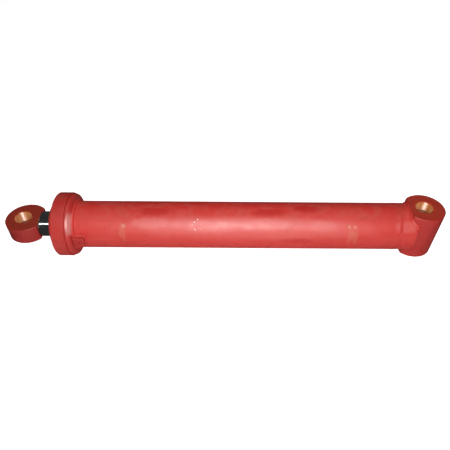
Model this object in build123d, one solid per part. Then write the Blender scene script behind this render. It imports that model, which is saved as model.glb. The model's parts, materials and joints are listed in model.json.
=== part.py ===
"""Double-acting hydraulic cylinder with a flange-bolted head, a cross-tube base and a welded rod eye.

Frame: millimetres. The origin is the centre of the base pin bore. +X runs along the cylinder to the
rod pin, +Z along both pin bores, and the head port faces +Y. The cylinder is drawn fully retracted.
Threads are drawn as plain cylinders at their major diameter.
"""

import math
import os

from build123d import *

# ---- driving dimensions --------------------------------------------------------------------------
PIN_CENTRES = 1180.0  # base pin to rod pin, retracted
STROKE = 735.0
TUBE_R = 70.0
BORE_R = 60.0
ROD_R = 37.5
HEAD_R = 95.0
EYE_R = 59.0
PIN_R = 25.0
BUSH_R = 30.0
BASE_EYE_HALF = 75.0  # half the length of the base cross tube
ROD_EYE_HALF = 26.0  # half the thickness of the rod eye

# ---- fits ----------------------------------------------------------------------------------------
STATIC_GAP = 0.02  # between two pieces that are pressed or screwed together
SEAL_GAP = 0.05  # between a seal or guide ring and the face that slides past it
GROOVE_GAP = 0.10  # round a piston ring, inside its groove
GUIDE_GAP = 0.5  # between bare metal faces that never touch

# ---- stations along X ----------------------------------------------------------------------------
CAP_END_X = 22.0  # where the cap's cheeks stop beside the base eye
BASE_EYE_FLAT_X = 42.0  # flat of the base eye, against the cap
CAP_SEAM_X = 75.0  # weld seam between cap and tube
CAP_FACE_X = 97.0  # pressure face of the cap
NUT_X = 101.0
PISTON_X = 133.0
PISTON_LENGTH = 60.0
PISTON_FRONT_X = PISTON_X + PISTON_LENGTH
TUBE_FLANGE_X = 1018.0
HEAD_SEAM_X = 1031.0  # joint between the tube flange and the gland flange
HEAD_FRONT_X = 1072.0
NOSE_X = 1087.0
HEAD_PORT_X = 1001.0
BASE_PORT_X = 113.0
GLAND_FACE_X = PISTON_FRONT_X + STROKE + 3.0  # inner face of the gland, 3 mm beyond the stroke
ROD_END_X = 1129.0  # flat of the rod eye, against the end of the rod
EYE_CENTRE_X = PIN_CENTRES - 8.0  # the rod eye's outline is centred 8 mm behind its pin

# ---- head screws ---------------------------------------------------------------------------------
SCREW_COUNT = 12
SCREW_CIRCLE_R = 77.0
SCREW_R = 5.0
SCREW_HEAD_R = 8.0
SCREW_HEAD_HEIGHT = 10.0
COUNTERBORE_DEPTH = 11.0
SCREW_KEY = 8.0  # across the flats of the screws' sockets
SCREW_TIP_X = 1023.0

# ---- ports ---------------------------------------------------------------------------------------
PORT_THREAD_R = 10.48  # G 1/2
PORT_DRILL_R = 7.0
PORT_BLOCK_LENGTH = 33.0  # along X
PORT_BLOCK_WIDTH = 34.0
PORT_FACE_Y = 82.0
PLUG_LENGTH = 11.0
PLUG_SINK = 0.5  # how far the plug's end lies below the port's face
PLUG_KEY = 6.0  # across the flats of the plug's socket

CENTRE_MIN = (Align.CENTER, Align.CENTER, Align.MIN)


# ---- shape helpers -------------------------------------------------------------------------------
def bar_x(x0, x1, r):
    """Round bar along X."""
    return Pos(x0, 0, 0) * Rot(0, 90, 0) * Cylinder(r, x1 - x0, align=CENTRE_MIN)


def ring_x(x0, x1, r_out, r_in):
    """Plain ring about the X axis."""
    return bar_x(x0, x1, r_out) - bar_x(x0, x1, r_in)


def bar_z(x, z0, z1, r):
    """Round bar along Z at a station on the X axis."""
    return Pos(x, 0, z0) * Cylinder(r, z1 - z0, align=CENTRE_MIN)


def bar_y(x, y0, y1, r):
    """Round bar along +Y at a station on the X axis, from y0 to y1."""
    return Pos(x, y0, 0) * Rot(-90, 0, 0) * Cylinder(r, y1 - y0, align=CENTRE_MIN)


def turned(points):
    """Solid of revolution about X from a closed outline of (x, radius) points."""
    return revolve(make_face(Polyline(*points, close=True)), axis=Axis.X)


def hexagon_x(x0, x1, across_flats):
    """Hexagonal prism along X."""
    profile = RegularPolygon(across_flats / 2, 6, major_radius=False)
    return Pos(x0, 0, 0) * Rot(0, 90, 0) * extrude(profile, x1 - x0)


def rim_at(solid, x, radius):
    """The circular edges about the X axis with this station and radius."""
    tolerance = 0.01
    return [
        edge
        for edge in solid.edges().filter_by(GeomType.CIRCLE)
        if abs(edge.radius - radius) < tolerance and abs(edge.arc_center.X - x) < tolerance
    ]


def rims_z(solid, radius):
    """The circular edges about any Z axis with this radius."""
    return [
        edge
        for edge in solid.edges().filter_by(GeomType.CIRCLE)
        if abs(edge.radius - radius) < 0.01 and abs(edge.normal().Z) > 0.99
    ]


def save(name, *pieces):
    """Writes one node, which may hold several separate solids."""
    solids = [solid for piece in pieces for solid in piece.solids()]
    shape = solids[0] if len(solids) == 1 else Compound(children=solids)
    export_step(shape, f"parts/{name}.step")


# ---- base end ------------------------------------------------------------------------------------
GREASE_CHAMBER_R = 33.0
GREASE_CHAMBER_HALF = 33.0
NIPPLE_THREAD_R = 4.0
BUSH_CHAMFER = 1.5
NIPPLE_SEAT_DEPTH = 8.0


def base_eye_blank():
    """The cross tube's outer shape: round, with a flat against the cap."""
    body = bar_z(0, -BASE_EYE_HALF, BASE_EYE_HALF, EYE_R)
    body = chamfer(rims_z(body, EYE_R), 2.0)
    return body - Pos(BASE_EYE_FLAT_X + 50, 0, 0) * Box(100, 200, 200)


def base_eye():
    """Cross tube that takes the base pin, with a grease chamber between its two bushes."""
    body = base_eye_blank() - bar_z(0, -BASE_EYE_HALF, BASE_EYE_HALF, BUSH_R)
    body -= bar_z(0, -GREASE_CHAMBER_HALF, GREASE_CHAMBER_HALF, GREASE_CHAMBER_R)
    body -= bar_y(0, -EYE_R, -EYE_R + NIPPLE_SEAT_DEPTH, NIPPLE_THREAD_R)
    body -= bar_y(0, -EYE_R, -BUSH_R, 1.5)
    return body


def pin_bush(x, z0, z1):
    """Bronze bush with a chamfered bore at each end."""
    bush = bar_z(x, z0, z1, BUSH_R - STATIC_GAP) - bar_z(x, z0, z1, PIN_R)
    return chamfer(rims_z(bush, PIN_R), BUSH_CHAMFER)


def base_cap():
    """Cap with a saddle for the base eye, cheeks on both sides of it and a spigot for the tube."""
    bevel = 6.0
    spigot_r = BORE_R - STATIC_GAP
    cheek_round = 7.0
    body = turned(
        [
            (CAP_END_X - 20, 0),
            (CAP_END_X - 20, TUBE_R),
            (CAP_SEAM_X - bevel, TUBE_R),
            (CAP_SEAM_X, TUBE_R - bevel),
            (CAP_SEAM_X, spigot_r),
            (CAP_FACE_X - 2, spigot_r),
            (CAP_FACE_X, spigot_r - 2),
            (CAP_FACE_X, 0),
        ]
    )
    body -= Pos(CAP_END_X - 30, 0, 0) * Box(60, 200, 200)
    body = fillet(rim_at(body, CAP_END_X, TUBE_R), cheek_round)
    return body - base_eye_blank()


def weld_cap_seam():
    """Girth weld that fills the groove between cap and tube."""
    bevel, crown = 6.0, 0.6
    return turned(
        [
            (CAP_SEAM_X, TUBE_R - bevel),
            (CAP_SEAM_X + bevel, TUBE_R),
            (CAP_SEAM_X + bevel - 1, TUBE_R + 0.6 * crown),
            (CAP_SEAM_X, TUBE_R + crown),
            (CAP_SEAM_X - bevel + 1, TUBE_R + 0.6 * crown),
            (CAP_SEAM_X - bevel, TUBE_R),
        ]
    )


def weld_base_eye():
    """Fillet weld along the saddle and down both cheeks of the cap."""
    leg = 4.5
    envelope = bar_x(CAP_END_X - leg, CAP_SEAM_X - 8, TUBE_R + leg)
    cap = bar_x(CAP_END_X, CAP_SEAM_X, TUBE_R)
    height = BASE_EYE_HALF - 2.5
    collar = bar_z(0, -height, height, EYE_R + leg)
    collar &= Pos(BASE_EYE_FLAT_X + leg - 100, 0, 0) * Box(200, 200, 200)
    return (collar & envelope) - cap - base_eye_blank()


# ---- barrel --------------------------------------------------------------------------------------
WELD_LEG = 6.0  # of the weld behind the tube flange
TUBE_FLANGE_R = 93.0
SHOULDER = (6.0, 90.6)  # where the flange's shoulder breaks: distance from its back, and radius


def barrel_tube():
    """Honed tube, bevelled at the cap seam and drilled for both ports."""
    bevel = 6.0
    body = turned(
        [
            (CAP_SEAM_X, BORE_R),
            (CAP_SEAM_X, TUBE_R - bevel),
            (CAP_SEAM_X + bevel, TUBE_R),
            (HEAD_SEAM_X, TUBE_R),
            (HEAD_SEAM_X, BORE_R + 1),
            (HEAD_SEAM_X - 2, BORE_R),
        ]
    )
    body -= bar_y(HEAD_PORT_X, BORE_R - 10, TUBE_R + 1, PORT_DRILL_R)
    return body - bar_y(BASE_PORT_X, -TUBE_R - 1, -BORE_R + 10, PORT_DRILL_R)


def screw_angles():
    """Head screw positions about X, with none in line with the port."""
    step = 360.0 / SCREW_COUNT
    return [step / 2 + step * i for i in range(SCREW_COUNT)]


def around_x(piece):
    """Copies a piece from +Z to every head screw position."""
    return [Rot(angle, 0, 0) * piece for angle in screw_angles()]


def flange_blank():
    """Tube flange before its holes are drilled, its back turned to a steep cone and a low shoulder."""
    foot_r = TUBE_R + WELD_LEG
    shoulder_x, shoulder_r = TUBE_FLANGE_X + SHOULDER[0], SHOULDER[1]
    body = turned(
        [
            (TUBE_FLANGE_X, TUBE_R + STATIC_GAP),
            (TUBE_FLANGE_X, foot_r),
            (TUBE_FLANGE_X + 2.0, foot_r + 7.0),
            (shoulder_x, shoulder_r),
            (HEAD_SEAM_X - 1.0, TUBE_FLANGE_R),
            (HEAD_SEAM_X, TUBE_FLANGE_R - 1.0),
            (HEAD_SEAM_X, TUBE_R + STATIC_GAP),
        ]
    )
    return fillet(rim_at(body, shoulder_x, shoulder_r), 3.0)


def tube_flange():
    """Weld-on flange with blind tapped holes for the head screws."""
    body = flange_blank()
    tapped = Pos(0, 0, SCREW_CIRCLE_R) * bar_x(SCREW_TIP_X - 1, HEAD_SEAM_X, SCREW_R + STATIC_GAP)
    for hole in around_x(tapped):
        body -= hole
    return body


def weld_tube_flange():
    """Fillet weld behind the tube flange."""
    leg = WELD_LEG
    return turned(
        [
            (TUBE_FLANGE_X, TUBE_R),
            (TUBE_FLANGE_X - leg, TUBE_R),
            (TUBE_FLANGE_X - 0.4 * leg, TUBE_R + 0.4 * leg),
            (TUBE_FLANGE_X, TUBE_R + leg),
        ]
    )


def port_block(grown=0.0):
    """Outer shape of a port block along +Y at x = 0, or one that is larger all round by this much."""
    length, width = PORT_BLOCK_LENGTH + 2 * grown, PORT_BLOCK_WIDTH + 2 * grown
    height = PORT_FACE_Y - BORE_R
    return Pos(0, BORE_R + height / 2, 0) * Box(length, height, width)


def port_boss():
    """Weld-on port block along +Y at x = 0, saddled onto the tube and tapped for its plug."""
    body = port_block()
    body = chamfer(body.faces().sort_by(Axis.Y)[-1].edges(), 1.5)
    body -= bar_x(-50, 50, TUBE_R)
    return body - bar_y(0, BORE_R, PORT_FACE_Y, PORT_THREAD_R)


def head_port_boss():
    """The head port's block, cut back where it meets the tube flange's weld."""
    return Pos(HEAD_PORT_X, 0, 0) * port_boss() - weld_tube_flange()


def weld_port_boss():
    """Fillet weld round the foot of a port block, along +Y at x = 0."""
    leg = 3.5
    shell = ring_x(-50, 50, TUBE_R + leg, TUBE_R)
    return (port_block(leg) & shell) - port_block()


def weld_head_port():
    """Weld of the head port's block, which runs out against the tube flange's weld."""
    clear_of_flange = bar_x(HEAD_PORT_X - 50, TUBE_FLANGE_X, HEAD_R)
    return (Pos(HEAD_PORT_X, 0, 0) * weld_port_boss() & clear_of_flange) - weld_tube_flange()


def port_plug():
    """Headless screw plug with a hexagon socket, in place along +Y at x = 0."""
    top = PORT_FACE_Y - PLUG_SINK
    body = bar_y(0, top - PLUG_LENGTH, top, PORT_THREAD_R - STATIC_GAP)
    body = chamfer(body.edges().filter_by(GeomType.CIRCLE), 0.8)
    socket = extrude(RegularPolygon(PLUG_KEY / 2, 6, major_radius=False), 3.5)
    return body - Pos(0, top, 0) * Rot(90, 0, 0) * socket


def at_head_port(piece):
    return Pos(HEAD_PORT_X, 0, 0) * piece


def at_base_port(piece):
    """The base port faces -Y."""
    return Pos(BASE_PORT_X, 0, 0) * Rot(0, 0, 180) * piece


# ---- gland and its seals -------------------------------------------------------------------------
GLAND_LAND_X = 1014.0  # the full-diameter land runs from here to the head seam
GLAND_SKIRT_R = 55.0
O_GROOVE_X = (1017.5, 1024.0)
O_GROOVE_R = 56.0
GUIDE_R = 40.0
GUIDE_WIDTH = 15.0
GUIDE_XS = (GLAND_FACE_X + 6, GLAND_FACE_X + 26, 1036.0)
BUFFER_X = (983.0, 989.5)
BUFFER_R = 45.0
ROD_SEAL_X = (998.0, 1013.0)
ROD_SEAL_R = 45.0
NOSE_R = 67.0
SEAM_RELIEF = 2.5  # gap between the two flanges outside their joint faces
WIPER_X = (1072.0, 1080.5)
WIPER_R = 44.0


def gland():
    """Flanged gland with an inner skirt, seal grooves, screw holes and a low nose for the wiper."""
    land_r = BORE_R - STATIC_GAP
    inner_r = ROD_R + GUIDE_GAP
    body = turned(
        [
            (GLAND_FACE_X, inner_r + 1),
            (GLAND_FACE_X, GLAND_SKIRT_R - 2),
            (GLAND_FACE_X + 2, GLAND_SKIRT_R),
            (GLAND_LAND_X - 3, GLAND_SKIRT_R),
            (GLAND_LAND_X, land_r),
            (HEAD_SEAM_X, land_r),
            (HEAD_SEAM_X, HEAD_R - 5),
            (HEAD_SEAM_X + SEAM_RELIEF, HEAD_R - 5),
            (HEAD_SEAM_X + SEAM_RELIEF, HEAD_R - 1),
            (HEAD_SEAM_X + SEAM_RELIEF + 1, HEAD_R),
            (HEAD_FRONT_X - 2, HEAD_R),
            (HEAD_FRONT_X, HEAD_R - 2),
            (HEAD_FRONT_X, NOSE_R),
            (NOSE_X - 3, NOSE_R),
            (NOSE_X, NOSE_R - 3),
            (NOSE_X, inner_r + 3.5),
            (NOSE_X - 2, inner_r + 2),
            (WIPER_X[1], inner_r + 2),
            (WIPER_X[1], inner_r),
            (GLAND_FACE_X + 1, inner_r),
        ]
    )
    body -= ring_x(*O_GROOVE_X, BORE_R + 5, O_GROOVE_R)
    for x in GUIDE_XS:
        body -= bar_x(x, x + GUIDE_WIDTH, GUIDE_R)
    body -= bar_x(*BUFFER_X, BUFFER_R)
    body -= bar_x(*ROD_SEAL_X, ROD_SEAL_R)
    body -= bar_x(*WIPER_X, WIPER_R)
    clearance = bar_x(HEAD_SEAM_X - 1, HEAD_FRONT_X, SCREW_R + 0.5)
    clearance += bar_x(HEAD_FRONT_X - COUNTERBORE_DEPTH, HEAD_FRONT_X + 1, SCREW_HEAD_R + 0.75)
    for hole in around_x(Pos(0, 0, SCREW_CIRCLE_R) * clearance):
        body -= hole
    return body


def head_screw():
    """Socket head cap screw, in place at +Z."""
    seat_x = HEAD_FRONT_X - COUNTERBORE_DEPTH
    body = bar_x(SCREW_TIP_X, seat_x, SCREW_R) + bar_x(seat_x, seat_x + SCREW_HEAD_HEIGHT, SCREW_HEAD_R)
    body = chamfer(rim_at(body, SCREW_TIP_X, SCREW_R), 1.0)
    body = fillet(rim_at(body, seat_x + SCREW_HEAD_HEIGHT, SCREW_HEAD_R), 1.0)
    body -= hexagon_x(seat_x + SCREW_HEAD_HEIGHT - 5, seat_x + SCREW_HEAD_HEIGHT + 1, SCREW_KEY)
    return Pos(0, 0, SCREW_CIRCLE_R) * body


def o_ring(x, radius, section_r):
    """O-ring about X."""
    return Pos(x, 0, 0) * Rot(0, 90, 0) * Torus(radius, section_r)


def rod_guide(x):
    """Guide ring in the gland, with its thin joint gap left closed."""
    return ring_x(x + 0.1, x + GUIDE_WIDTH - 0.1, GUIDE_R - STATIC_GAP, ROD_R + SEAL_GAP)


def buffer_seal():
    x0, x1 = BUFFER_X[0] + 0.2, BUFFER_X[1] - 0.2
    inner, outer = ROD_R + SEAL_GAP, BUFFER_R - STATIC_GAP
    middle = (x0 + x1) / 2
    return turned(
        [(x0, outer), (x0, inner + 1.5), (middle, inner), (x1, inner + 0.4), (x1, outer)]
    )


def rod_seal():
    """U-cup rod seal, its lips facing the pressure side."""
    x0, x1 = ROD_SEAL_X[0] + 0.3, ROD_SEAL_X[1] - 3.0
    inner, outer = ROD_R + SEAL_GAP, ROD_SEAL_R - STATIC_GAP
    middle = (inner + outer) / 2
    return turned(
        [
            (x0, outer - 0.8),
            (x0 + 3, outer),
            (x1, outer - 0.3),
            (x1, inner + 0.3),
            (x0 + 3, inner),
            (x0, inner + 0.8),
            (x0, inner + 1.6),
            (x0 + 5, middle - 0.6),
            (x0 + 5, middle + 0.6),
            (x0, outer - 1.6),
        ]
    )


def wiper():
    """Dust wiper, with its lip standing out of the nose."""
    inner, outer = ROD_R + SEAL_GAP, WIPER_R - STATIC_GAP
    x0, x1 = WIPER_X[0] + 0.2, WIPER_X[1] - 0.2
    return turned(
        [
            (x0, outer),
            (x0, inner + 1.2),
            (x0 + 3, inner),
            (x0 + 5, inner + 1.0),
            (NOSE_X + 1, inner),
            (NOSE_X + 2, inner + 0.5),
            (NOSE_X - 1, inner + 2.1),
            (x1, inner + 2.2),
            (x1, outer),
        ]
    )


# ---- rod assembly --------------------------------------------------------------------------------
PISTON_R = BORE_R - GUIDE_GAP
PISTON_BORE_R = 27.5
THREAD_R = 26.0
ROD_TAIL_X = 99.5
PISTON_SEAL_WIDTH = 16.0
PISTON_SEAL_R = 52.0
PISTON_GUIDE_R = 57.0
PISTON_GUIDE_WIDTH = 12.0
PISTON_GUIDE_XS = (PISTON_X + 5, PISTON_FRONT_X - 5 - PISTON_GUIDE_WIDTH)
PISTON_SEAL_X = (PISTON_X + PISTON_FRONT_X - PISTON_SEAL_WIDTH) / 2
STATIC_RING_X = PISTON_X + 12
NIPPLE_SPOT_Y = -57.0  # spot face for the rod eye's grease nipple
NUT_FLATS = 75.0


ROD_BEVEL = (4.0, 3.5)  # length and depth of the bevel at the rod's eye end


def rod():
    """Chromed rod with a bevelled eye end, a piston spigot and a threaded tail."""
    body = turned(
        [
            (ROD_TAIL_X, 0),
            (ROD_TAIL_X, THREAD_R - 2),
            (ROD_TAIL_X + 2, THREAD_R),
            (PISTON_X, THREAD_R),
            (PISTON_X, PISTON_BORE_R - STATIC_GAP),
            (PISTON_FRONT_X, PISTON_BORE_R - STATIC_GAP),
            (PISTON_FRONT_X, ROD_R - 2),
            (PISTON_FRONT_X + 2, ROD_R),
            (ROD_END_X - ROD_BEVEL[0], ROD_R),
            (ROD_END_X, ROD_R - ROD_BEVEL[1]),
            (ROD_END_X, 0),
        ]
    )
    return body - ring_x(STATIC_RING_X, STATIC_RING_X + 4.6, PISTON_BORE_R + 1, PISTON_BORE_R - 3)


def rod_eye():
    """Round eye with a flat for the rod, drilled for its grease nipple."""
    body = bar_z(EYE_CENTRE_X, -ROD_EYE_HALF, ROD_EYE_HALF, EYE_R)
    body = chamfer(rims_z(body, EYE_R), 1.5)
    body -= Pos(ROD_END_X - 50, 0, 0) * Box(100, 200, 200)
    body -= bar_z(PIN_CENTRES, -ROD_EYE_HALF, ROD_EYE_HALF, BUSH_R)
    body -= bar_y(PIN_CENTRES, -EYE_R, NIPPLE_SPOT_Y, 6.0)
    body -= bar_y(PIN_CENTRES, -EYE_R, NIPPLE_SPOT_Y + NIPPLE_SEAT_DEPTH, NIPPLE_THREAD_R)
    body -= bar_y(PIN_CENTRES, -EYE_R, 0, 1.5)
    return body


def rod_bush():
    bush = pin_bush(PIN_CENTRES, -ROD_EYE_HALF, ROD_EYE_HALF)
    return bush - bar_y(PIN_CENTRES, -BUSH_R - 1, 0, 1.5)


def weld_rod_eye():
    """Weld between the rod's bevel and the flat, with a fillet along the eye's top and bottom faces."""
    flat_half = math.sqrt(EYE_R**2 - (EYE_CENTRE_X - ROD_END_X) ** 2)
    bevel_bead = turned(
        [
            (ROD_END_X, ROD_R - ROD_BEVEL[1]),
            (ROD_END_X - 0.6 * ROD_BEVEL[0], ROD_R - 0.4 * ROD_BEVEL[1]),
            (ROD_END_X - 0.5, ROD_R - 0.6),
            (ROD_END_X, ROD_R - 0.6),
        ]
    )
    pieces = [bevel_bead & Pos(ROD_END_X, 0, 0) * Box(20, 2 * flat_half, 2 * ROD_EYE_HALF)]
    leg = 3.0
    for side in (-1, 1):
        face = side * ROD_EYE_HALF
        profile = Polyline(
            (ROD_END_X + 1.5, 0, face),
            (ROD_END_X + leg, 0, face),
            (ROD_END_X, 0, face + side * leg),
            (ROD_END_X, 0, face - side * 1.5),
            close=True,
        )
        pieces.append(extrude(make_face(profile), 17.0, dir=(0, 1, 0), both=True) - rod_eye())
    return pieces


def piston():
    """Piston with a seal groove between two guide ring grooves."""
    body = turned(
        [
            (PISTON_X, PISTON_BORE_R),
            (PISTON_X, PISTON_R - 3),
            (PISTON_X + 3, PISTON_R),
            (PISTON_FRONT_X - 3, PISTON_R),
            (PISTON_FRONT_X, PISTON_R - 3),
            (PISTON_FRONT_X, PISTON_BORE_R),
        ]
    )
    body -= ring_x(PISTON_SEAL_X, PISTON_SEAL_X + PISTON_SEAL_WIDTH, BORE_R, PISTON_SEAL_R)
    for x in PISTON_GUIDE_XS:
        body -= ring_x(x, x + PISTON_GUIDE_WIDTH, BORE_R, PISTON_GUIDE_R)
    return body


def piston_nut():
    body = hexagon_x(NUT_X, PISTON_X, NUT_FLATS)
    crown = turned(
        [
            (NUT_X, 0),
            (NUT_X, NUT_FLATS / 2),
            (NUT_X + 5, NUT_FLATS / 2 + 6),
            (PISTON_X, NUT_FLATS / 2 + 6),
            (PISTON_X, 0),
        ]
    )
    body = (body & crown) - bar_x(NUT_X, PISTON_X, THREAD_R + STATIC_GAP)
    return body - bar_z(NUT_X + 16, 0, NUT_FLATS, 4.0)


def nut_lock_screw():
    """Grub screw that locks the nut on the rod's thread."""
    bottom = THREAD_R + 0.3
    body = bar_z(NUT_X + 16, bottom, bottom + 10, 4.0 - STATIC_GAP)
    socket = Pos(NUT_X + 16, 0, bottom + 6) * extrude(RegularPolygon(2.0, 6, major_radius=False), 5)
    return body - socket


def piston_ring(x, width, inner_r):
    """Ring in a piston groove, free to turn there."""
    return ring_x(
        x + GROOVE_GAP, x + width - GROOVE_GAP, BORE_R - SEAL_GAP, inner_r + GROOVE_GAP
    )


def grease_nipple(x, surface_y):
    """Grease nipple that points along -Y from an eye's surface."""
    shank = 7.5
    body = turned(
        [
            (-shank, 0),
            (-shank, NIPPLE_THREAD_R - 0.6),
            (-shank + 1, NIPPLE_THREAD_R - STATIC_GAP),
            (0.3, NIPPLE_THREAD_R - STATIC_GAP),
            (0.3, 4.6),
            (4.5, 4.6),
            (4.5, 3.2),
            (6.0, 2.2),
            (7.5, 2.2),
            (9.0, 3.2),
            (11.0, 3.2),
            (12.5, 2.0),
            (12.5, 0),
        ]
    )
    body &= bar_x(-shank, 0.3, 5) + hexagon_x(0.3, 4.5, 8.6) + bar_x(4.5, 12.5, 5)
    return Pos(x, surface_y, 0) * Rot(0, 0, -90) * body


# ---- the nodes -----------------------------------------------------------------------------------
def main():
    os.makedirs("parts", exist_ok=True)

    save("base_eye", base_eye())
    save("base_bush_upper", pin_bush(0, GREASE_CHAMBER_HALF, BASE_EYE_HALF))
    save("base_bush_lower", pin_bush(0, -BASE_EYE_HALF, -GREASE_CHAMBER_HALF))
    save("base_grease_nipple", grease_nipple(0, -EYE_R))
    save("base_cap", base_cap())
    save("weld_base_eye", weld_base_eye())
    save("weld_cap_seam", weld_cap_seam())

    save("barrel_tube", barrel_tube())
    save("tube_flange", tube_flange())
    save("weld_tube_flange", weld_tube_flange())
    save("head_port_boss", head_port_boss())
    save("weld_head_port", weld_head_port())
    save("head_port_plug", at_head_port(port_plug()))
    save("base_port_boss", at_base_port(port_boss()))
    save("weld_base_port", at_base_port(weld_port_boss()))
    save("base_port_plug", at_base_port(port_plug()))

    save("gland", gland())
    save("head_screws", *around_x(head_screw()))
    o_section = (BORE_R - O_GROOVE_R) / 2 - STATIC_GAP
    save("gland_o_ring", o_ring(O_GROOVE_X[0] + 2.5, BORE_R - 2, o_section))
    save(
        "gland_backup_ring",
        ring_x(O_GROOVE_X[1] - 1.6, O_GROOVE_X[1] - 0.1, BORE_R - STATIC_GAP, O_GROOVE_R + STATIC_GAP),
    )
    for name, x in zip(("inner", "middle", "outer"), GUIDE_XS):
        save(f"rod_guide_{name}", rod_guide(x))
    save("rod_buffer_seal", buffer_seal())
    save("rod_seal", rod_seal())
    save(
        "rod_seal_backup_ring",
        ring_x(ROD_SEAL_X[1] - 2.7, ROD_SEAL_X[1] - 0.2, ROD_SEAL_R - STATIC_GAP, ROD_R + SEAL_GAP),
    )
    save("rod_wiper", wiper())

    save("rod", rod())
    save("rod_eye", rod_eye())
    save("weld_rod_eye", *weld_rod_eye())
    save("rod_bush", rod_bush())
    save("rod_grease_nipple", grease_nipple(PIN_CENTRES, NIPPLE_SPOT_Y))
    save("piston", piston())
    save("piston_nut", piston_nut())
    save("nut_lock_screw", nut_lock_screw())
    save("piston_static_o_ring", o_ring(STATIC_RING_X + 2.3, PISTON_BORE_R - 1.5, 1.47))

    save("piston_seal", piston_ring(PISTON_SEAL_X, PISTON_SEAL_WIDTH, PISTON_SEAL_R))
    for name, x in zip(("rear", "front"), PISTON_GUIDE_XS):
        save(f"piston_guide_{name}", piston_ring(x, PISTON_GUIDE_WIDTH, PISTON_GUIDE_R))


main()
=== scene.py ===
"""Looks for a hydraulic cylinder: primer-red paint over rippled welds, bronze bushes, hard chrome.

Everything is in metres, in the part's own frame: +X from the base pin to the rod pin, +Z along the
pin bores, the head port on +Y. Numbers in millimetres are multiplied by MM.
"""

import json
import math
import random

import bmesh
import bpy
from mathutils import Matrix, Vector, noise

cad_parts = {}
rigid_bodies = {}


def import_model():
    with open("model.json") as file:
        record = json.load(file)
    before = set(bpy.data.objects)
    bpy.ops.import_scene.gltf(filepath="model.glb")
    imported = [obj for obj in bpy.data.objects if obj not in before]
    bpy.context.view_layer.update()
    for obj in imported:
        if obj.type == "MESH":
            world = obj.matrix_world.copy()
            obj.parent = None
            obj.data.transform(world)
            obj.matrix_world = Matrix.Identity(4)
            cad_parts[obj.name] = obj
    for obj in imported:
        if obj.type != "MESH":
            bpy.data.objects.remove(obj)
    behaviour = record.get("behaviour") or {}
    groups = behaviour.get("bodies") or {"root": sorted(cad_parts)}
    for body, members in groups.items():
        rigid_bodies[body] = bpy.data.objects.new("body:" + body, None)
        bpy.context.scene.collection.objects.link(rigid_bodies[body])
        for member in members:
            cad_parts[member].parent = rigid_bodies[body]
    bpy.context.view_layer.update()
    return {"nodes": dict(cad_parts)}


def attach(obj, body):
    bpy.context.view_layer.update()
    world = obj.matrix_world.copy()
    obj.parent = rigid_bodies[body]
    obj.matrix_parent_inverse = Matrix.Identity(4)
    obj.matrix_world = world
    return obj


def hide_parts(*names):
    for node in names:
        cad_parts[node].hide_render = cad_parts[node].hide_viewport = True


MM = 0.001

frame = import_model()
nodes = frame["nodes"]

# ---- places on the object, in millimetres --------------------------------------------------------
TUBE_R = 70.0
EYE_R = 59.0
EYE_HALF = 75.0
EYE_CHAMFER = 2.0
EYE_FLAT_X = 42.0
CAP_END_X = 22.0
CAP_SEAM_X = 75.0
FLANGE_X = 1018.0
HEAD_SEAM_X = 1031.0
HEAD_R = 95.0
HEAD_PORT_X = 1001.0
BASE_PORT_X = 113.0
PORT_BLOCK_HALF = (16.5, 17.0)  # along X and along Z
ROD_END_X = 1129.0  # the rod's end face, against the rod eye's flat
ROD_EYE_HALF = 26.0
ROD_EYE_FLAT_HALF = 17.5  # half the width of the flat's welds over and under the rod
ROD_BEVEL_R = 34.0  # radius of the rod's end inside its bevel

# ---- light and floor -----------------------------------------------------------------------------
SOFTBOX_W = 10.5
LAMP_W = 14.2
STRIP_W = 3.5
BORE_W = 60.0
OVERHEAD_W = 26.0
FILL_W = 5.0
WORLD_STRENGTH = 0.04  # to everything but the camera, which sees 1.0
FLOOR_GLOW = 0.85  # to the camera
FLOOR_BOUNCE = 0.12  # to matt surfaces
FLOOR_IN_GLOSS = 0.04  # to glossy surfaces
FLOOR_REACH = 30.0  # half the floor's width, in metres


# ---- camera --------------------------------------------------------------------------------------
CAMERA_PLACE = (0.5850, 0.9451, 0.8932)
CAMERA_YAW, CAMERA_PITCH, CAMERA_ROLL = (math.radians(a) for a in (0.3155, 43.409, 0.604))
CAMERA_LENS = 34.431


def add_camera():
    """Camera at the photograph's viewing angle: above and to the side, looking along -Y."""
    data = bpy.data.cameras.new("camera")
    data.sensor_width = 36.0
    data.lens = CAMERA_LENS
    data.clip_start = 0.01
    data.clip_end = 200.0
    camera = bpy.data.objects.new("camera", data)
    bpy.context.scene.collection.objects.link(camera)
    ahead = Vector((-math.sin(CAMERA_YAW), -math.cos(CAMERA_YAW), 0.0))
    forward = ahead * math.cos(CAMERA_PITCH) - Vector((0.0, 0.0, math.sin(CAMERA_PITCH)))
    level = Vector((-math.cos(CAMERA_YAW), math.sin(CAMERA_YAW), 0.0))
    upright = level.cross(forward)
    right = level * math.cos(CAMERA_ROLL) + upright * math.sin(CAMERA_ROLL)
    up = upright * math.cos(CAMERA_ROLL) - level * math.sin(CAMERA_ROLL)
    turn = Matrix((right, up, -forward)).transposed().to_4x4()
    camera.matrix_world = Matrix.Translation(Vector(CAMERA_PLACE)) @ turn
    bpy.context.scene.camera = camera


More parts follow.
